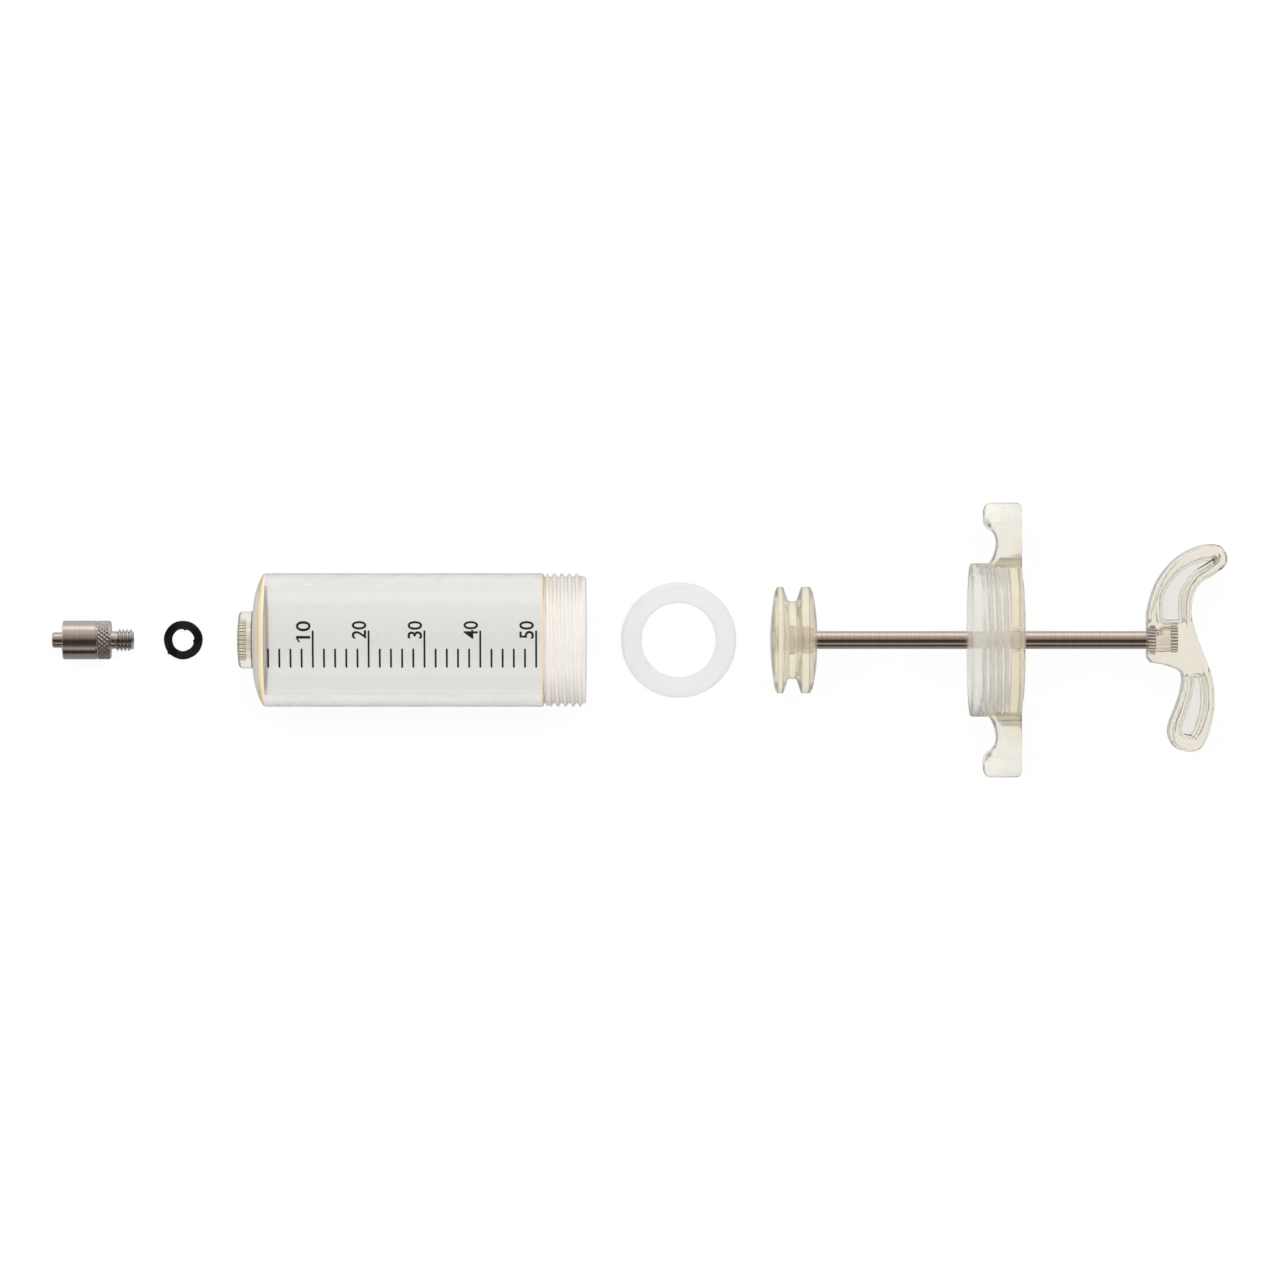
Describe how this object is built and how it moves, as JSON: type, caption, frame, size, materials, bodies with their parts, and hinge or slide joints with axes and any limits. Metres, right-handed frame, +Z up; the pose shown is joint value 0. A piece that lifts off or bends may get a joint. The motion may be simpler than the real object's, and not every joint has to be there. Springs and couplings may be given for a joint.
{
  "type": "luer lock syringe",
  "caption": "Reusable luer lock syringe taken apart in a row: metal tip, washer, graduated clear barrel, seal ring, and plunger with screw cap and handle.",
  "frame": {"origin": "on the table, in the middle of the row of pieces", "axes": "+X along the row and the rod, from the tip to the handle; +Y across it along the cap's wings; +Z up from the table"},
  "size_m": [0.3134, 0.073, 0.0408],
  "materials": {
    "tip_metal": "satin nickel plate on turned brass",
    "insert_metal": "nickel plate on knurled brass",
    "rod_steel": "ground stainless steel",
    "washer_rubber": "matt black rubber",
    "seal_silicone": "translucent white silicone",
    "barrel_plastic": "polished clear plastic",
    "piston_plastic": "clear yellowish plastic",
    "cap_plastic": "polished clear plastic",
    "handle_plastic": "polished clear plastic"
  },
  "bodies": {
    "syringe": {"barrel": "barrel_plastic", "barrel_nut": "insert_metal", "luer_tip": "tip_metal", "tip_washer": "washer_rubber", "seal_ring": "seal_silicone", "piston": "piston_plastic", "piston_nut": "insert_metal", "handle": "handle_plastic", "handle_nut": "insert_metal"},
    "rod": {"rod": "rod_steel"},
    "cap": {"cap": "cap_plastic"}
  },
  "joints": [
    {"name": "cap_turn", "type": "hinge", "parent": "syringe", "child": "rod", "pos_m": [0.09, 0, 0.0204], "axis": [1, 0, 0], "continuous": true},
    {"name": "cap_slide", "type": "slide", "parent": "rod", "child": "cap", "axis": [1, 0, 0], "range_m": [-0.05, 0.0325]}
  ]
}
